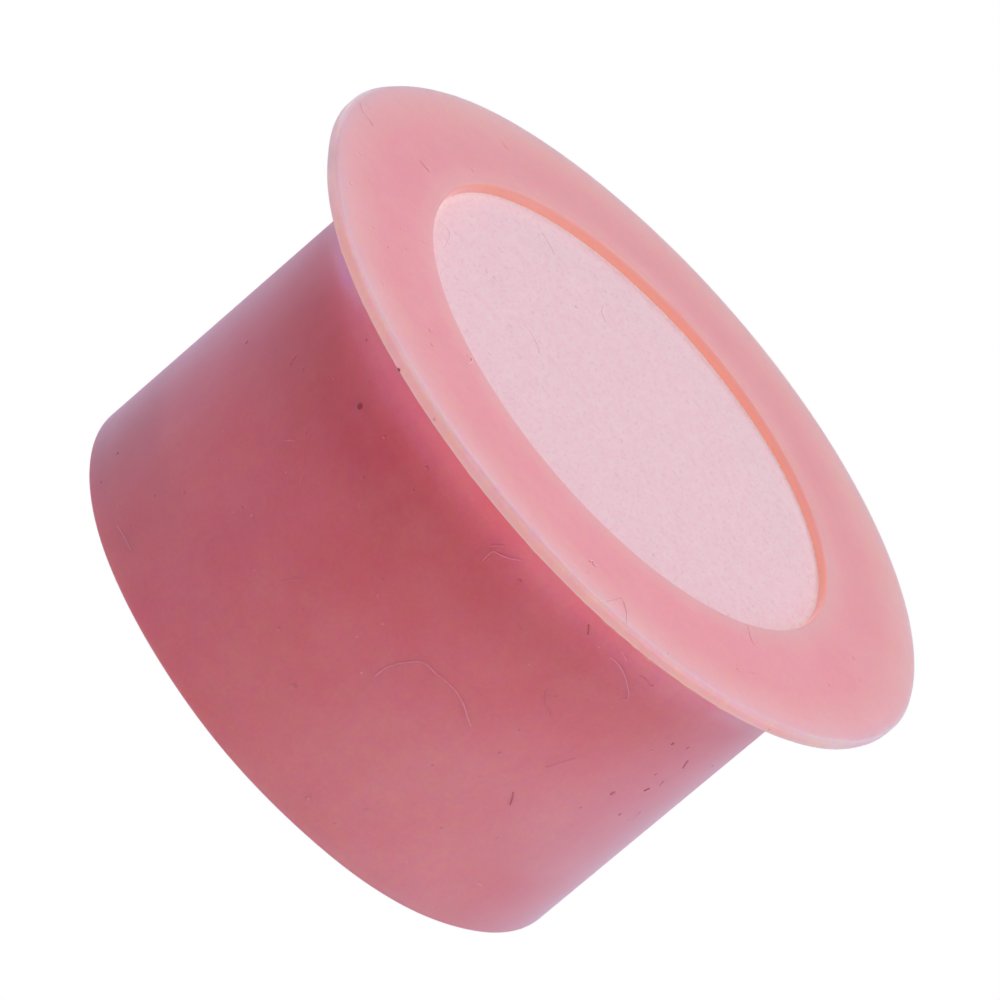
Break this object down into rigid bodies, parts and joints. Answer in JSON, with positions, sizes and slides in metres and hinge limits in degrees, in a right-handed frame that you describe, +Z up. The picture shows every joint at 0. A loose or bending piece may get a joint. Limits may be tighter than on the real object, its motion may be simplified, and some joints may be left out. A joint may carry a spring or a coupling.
{
  "type": "rubber stopper",
  "caption": "Flanged silicone stopper: a straight round plug under a thin wide flange, with a pale matte vent disc lying in a shallow round recess in its top.",
  "frame": {"origin": "centre of the plug's flat base, which the stopper stands on", "axes": "+Z up along the stopper's axis, from the base to the flange; X and Y are alike"},
  "size_m": [0.03, 0.03, 0.0157],
  "materials": {
    "silicone": "satin",
    "disc": "matte"
  },
  "bodies": {
    "root": {"stopper": "silicone", "vent_disc": "disc"}
  },
  "joints": []
}
